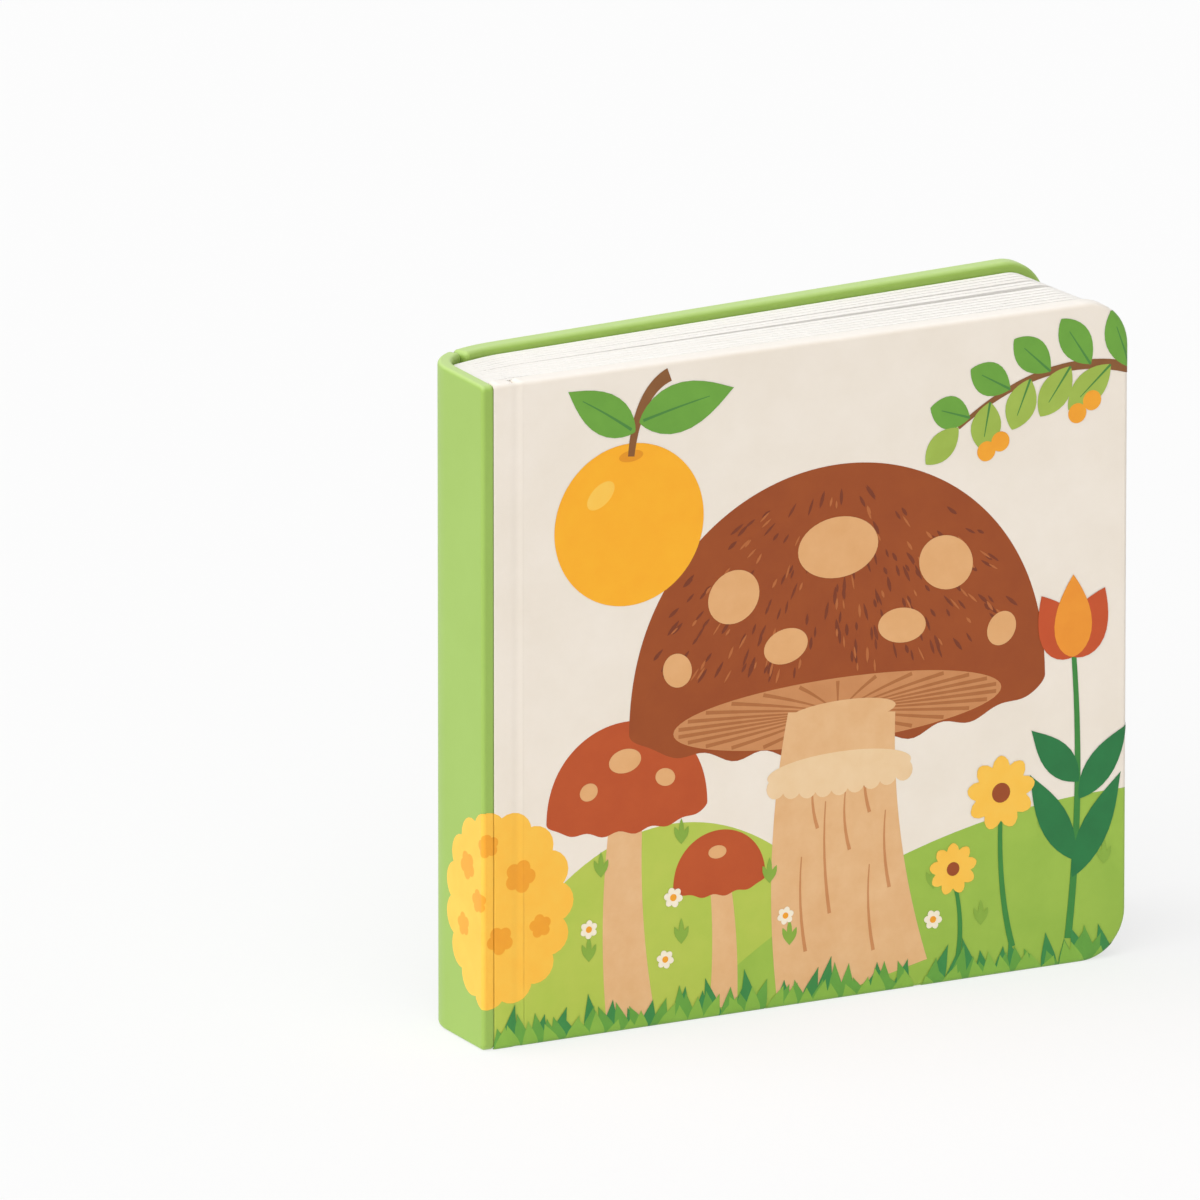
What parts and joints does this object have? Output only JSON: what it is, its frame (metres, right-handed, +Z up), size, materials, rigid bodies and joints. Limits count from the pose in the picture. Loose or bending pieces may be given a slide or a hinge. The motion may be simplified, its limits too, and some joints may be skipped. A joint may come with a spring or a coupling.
{
  "type": "board book",
  "caption": "Square board book with rounded fore-edge corners, a wrapped spine, thick leaves fanned a little, and two covers that hinge at their creases.",
  "frame": {"origin": "middle of the book's footprint, on the surface that it stands on", "axes": "+X from the spine to the fore-edge, +Y from the front cover to the back cover, +Z up from foot to head"},
  "size_m": [0.161, 0.043, 0.152],
  "materials": {
    "green_wrapped_board": "satin",
    "printed_cream_board": "satin",
    "page_board": "matte"
  },
  "bodies": {
    "spine_and_leaves": {"spine_wrap": "green_wrapped_board", "front_hinge_strip": "printed_cream_board", "page_block": "page_board"},
    "front_board": {"front_cover": "printed_cream_board"},
    "back_board": {"back_cover": "green_wrapped_board"}
  },
  "joints": [
    {"name": "front_cover_hinge", "type": "hinge", "parent": "spine_and_leaves", "child": "front_board", "pos_m": [-0.0719, -0.02153, 0], "axis": [0, 0, -1], "range_deg": [0, 170]},
    {"name": "back_cover_hinge", "type": "hinge", "parent": "spine_and_leaves", "child": "back_board", "pos_m": [-0.07271, 0.0089, 0], "axis": [0, 0, 1], "range_deg": [0, 170]}
  ]
}
